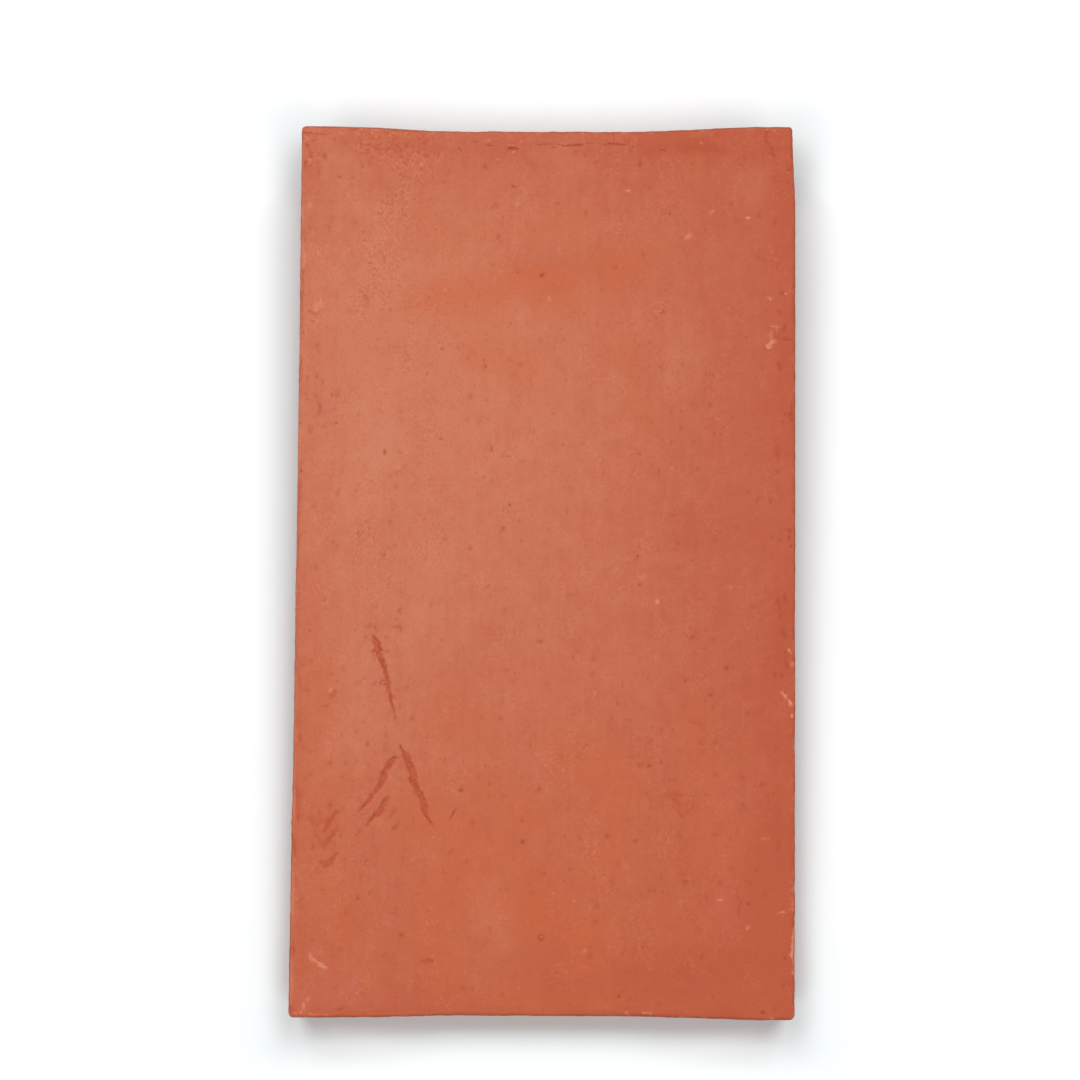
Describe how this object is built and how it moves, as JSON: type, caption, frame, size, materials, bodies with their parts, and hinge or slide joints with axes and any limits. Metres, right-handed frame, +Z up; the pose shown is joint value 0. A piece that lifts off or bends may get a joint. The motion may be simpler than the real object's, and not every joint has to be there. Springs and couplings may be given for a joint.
{
  "type": "flat clay roof tile",
  "caption": "Rectangular fired clay roof tile, slightly dished across its width, with a hanging nib on its back that hooks over a roof batten.",
  "frame": {"origin": "on the floor, under the middle of the tile as it lies face up on its nib and its tail", "axes": "+Y along the tile from its tail to its head, +X across it, +Z up; the face looks up and leans 2.6 degrees towards the tail"},
  "size_m": [0.157, 0.2802, 0.0297],
  "materials": {
    "fired_clay": "matte"
  },
  "bodies": {
    "root": {"tile": "fired_clay"}
  },
  "joints": []
}
